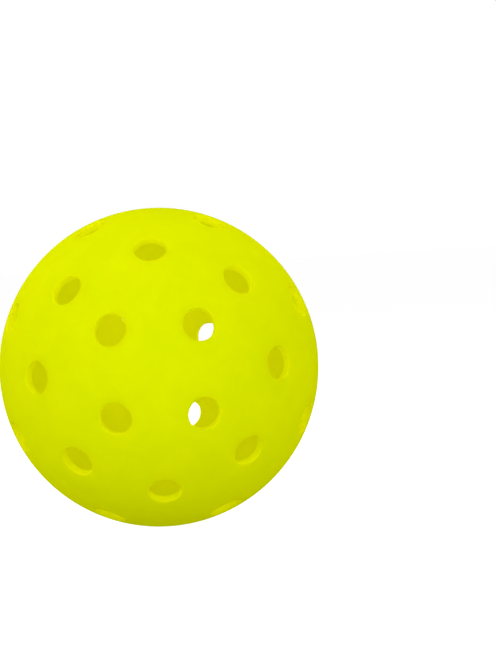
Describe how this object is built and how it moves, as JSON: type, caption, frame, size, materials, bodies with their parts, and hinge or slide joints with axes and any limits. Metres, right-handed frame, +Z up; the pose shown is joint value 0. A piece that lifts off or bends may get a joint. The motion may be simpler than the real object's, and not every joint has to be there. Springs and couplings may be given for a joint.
{
  "type": "pickleball ball",
  "caption": "Hollow plastic game ball with round holes in rings about two poles, made of two half shells welded at the equator.",
  "frame": {"origin": "the ball's centre", "axes": "Y runs through the two poles, with the front half shell's pole towards -Y and the rear half shell's towards +Y; the rims meet at the plane Y = 0; Z is up and X to the right of someone facing the front pole"},
  "size_m": [0.074, 0.074, 0.074],
  "materials": {
    "ball_plastic": "satin",
    "weld_plastic": "satin"
  },
  "bodies": {
    "root": {"front_half_shell": "ball_plastic", "rear_half_shell": "ball_plastic", "seam_weld_bead": "weld_plastic"}
  },
  "joints": []
}
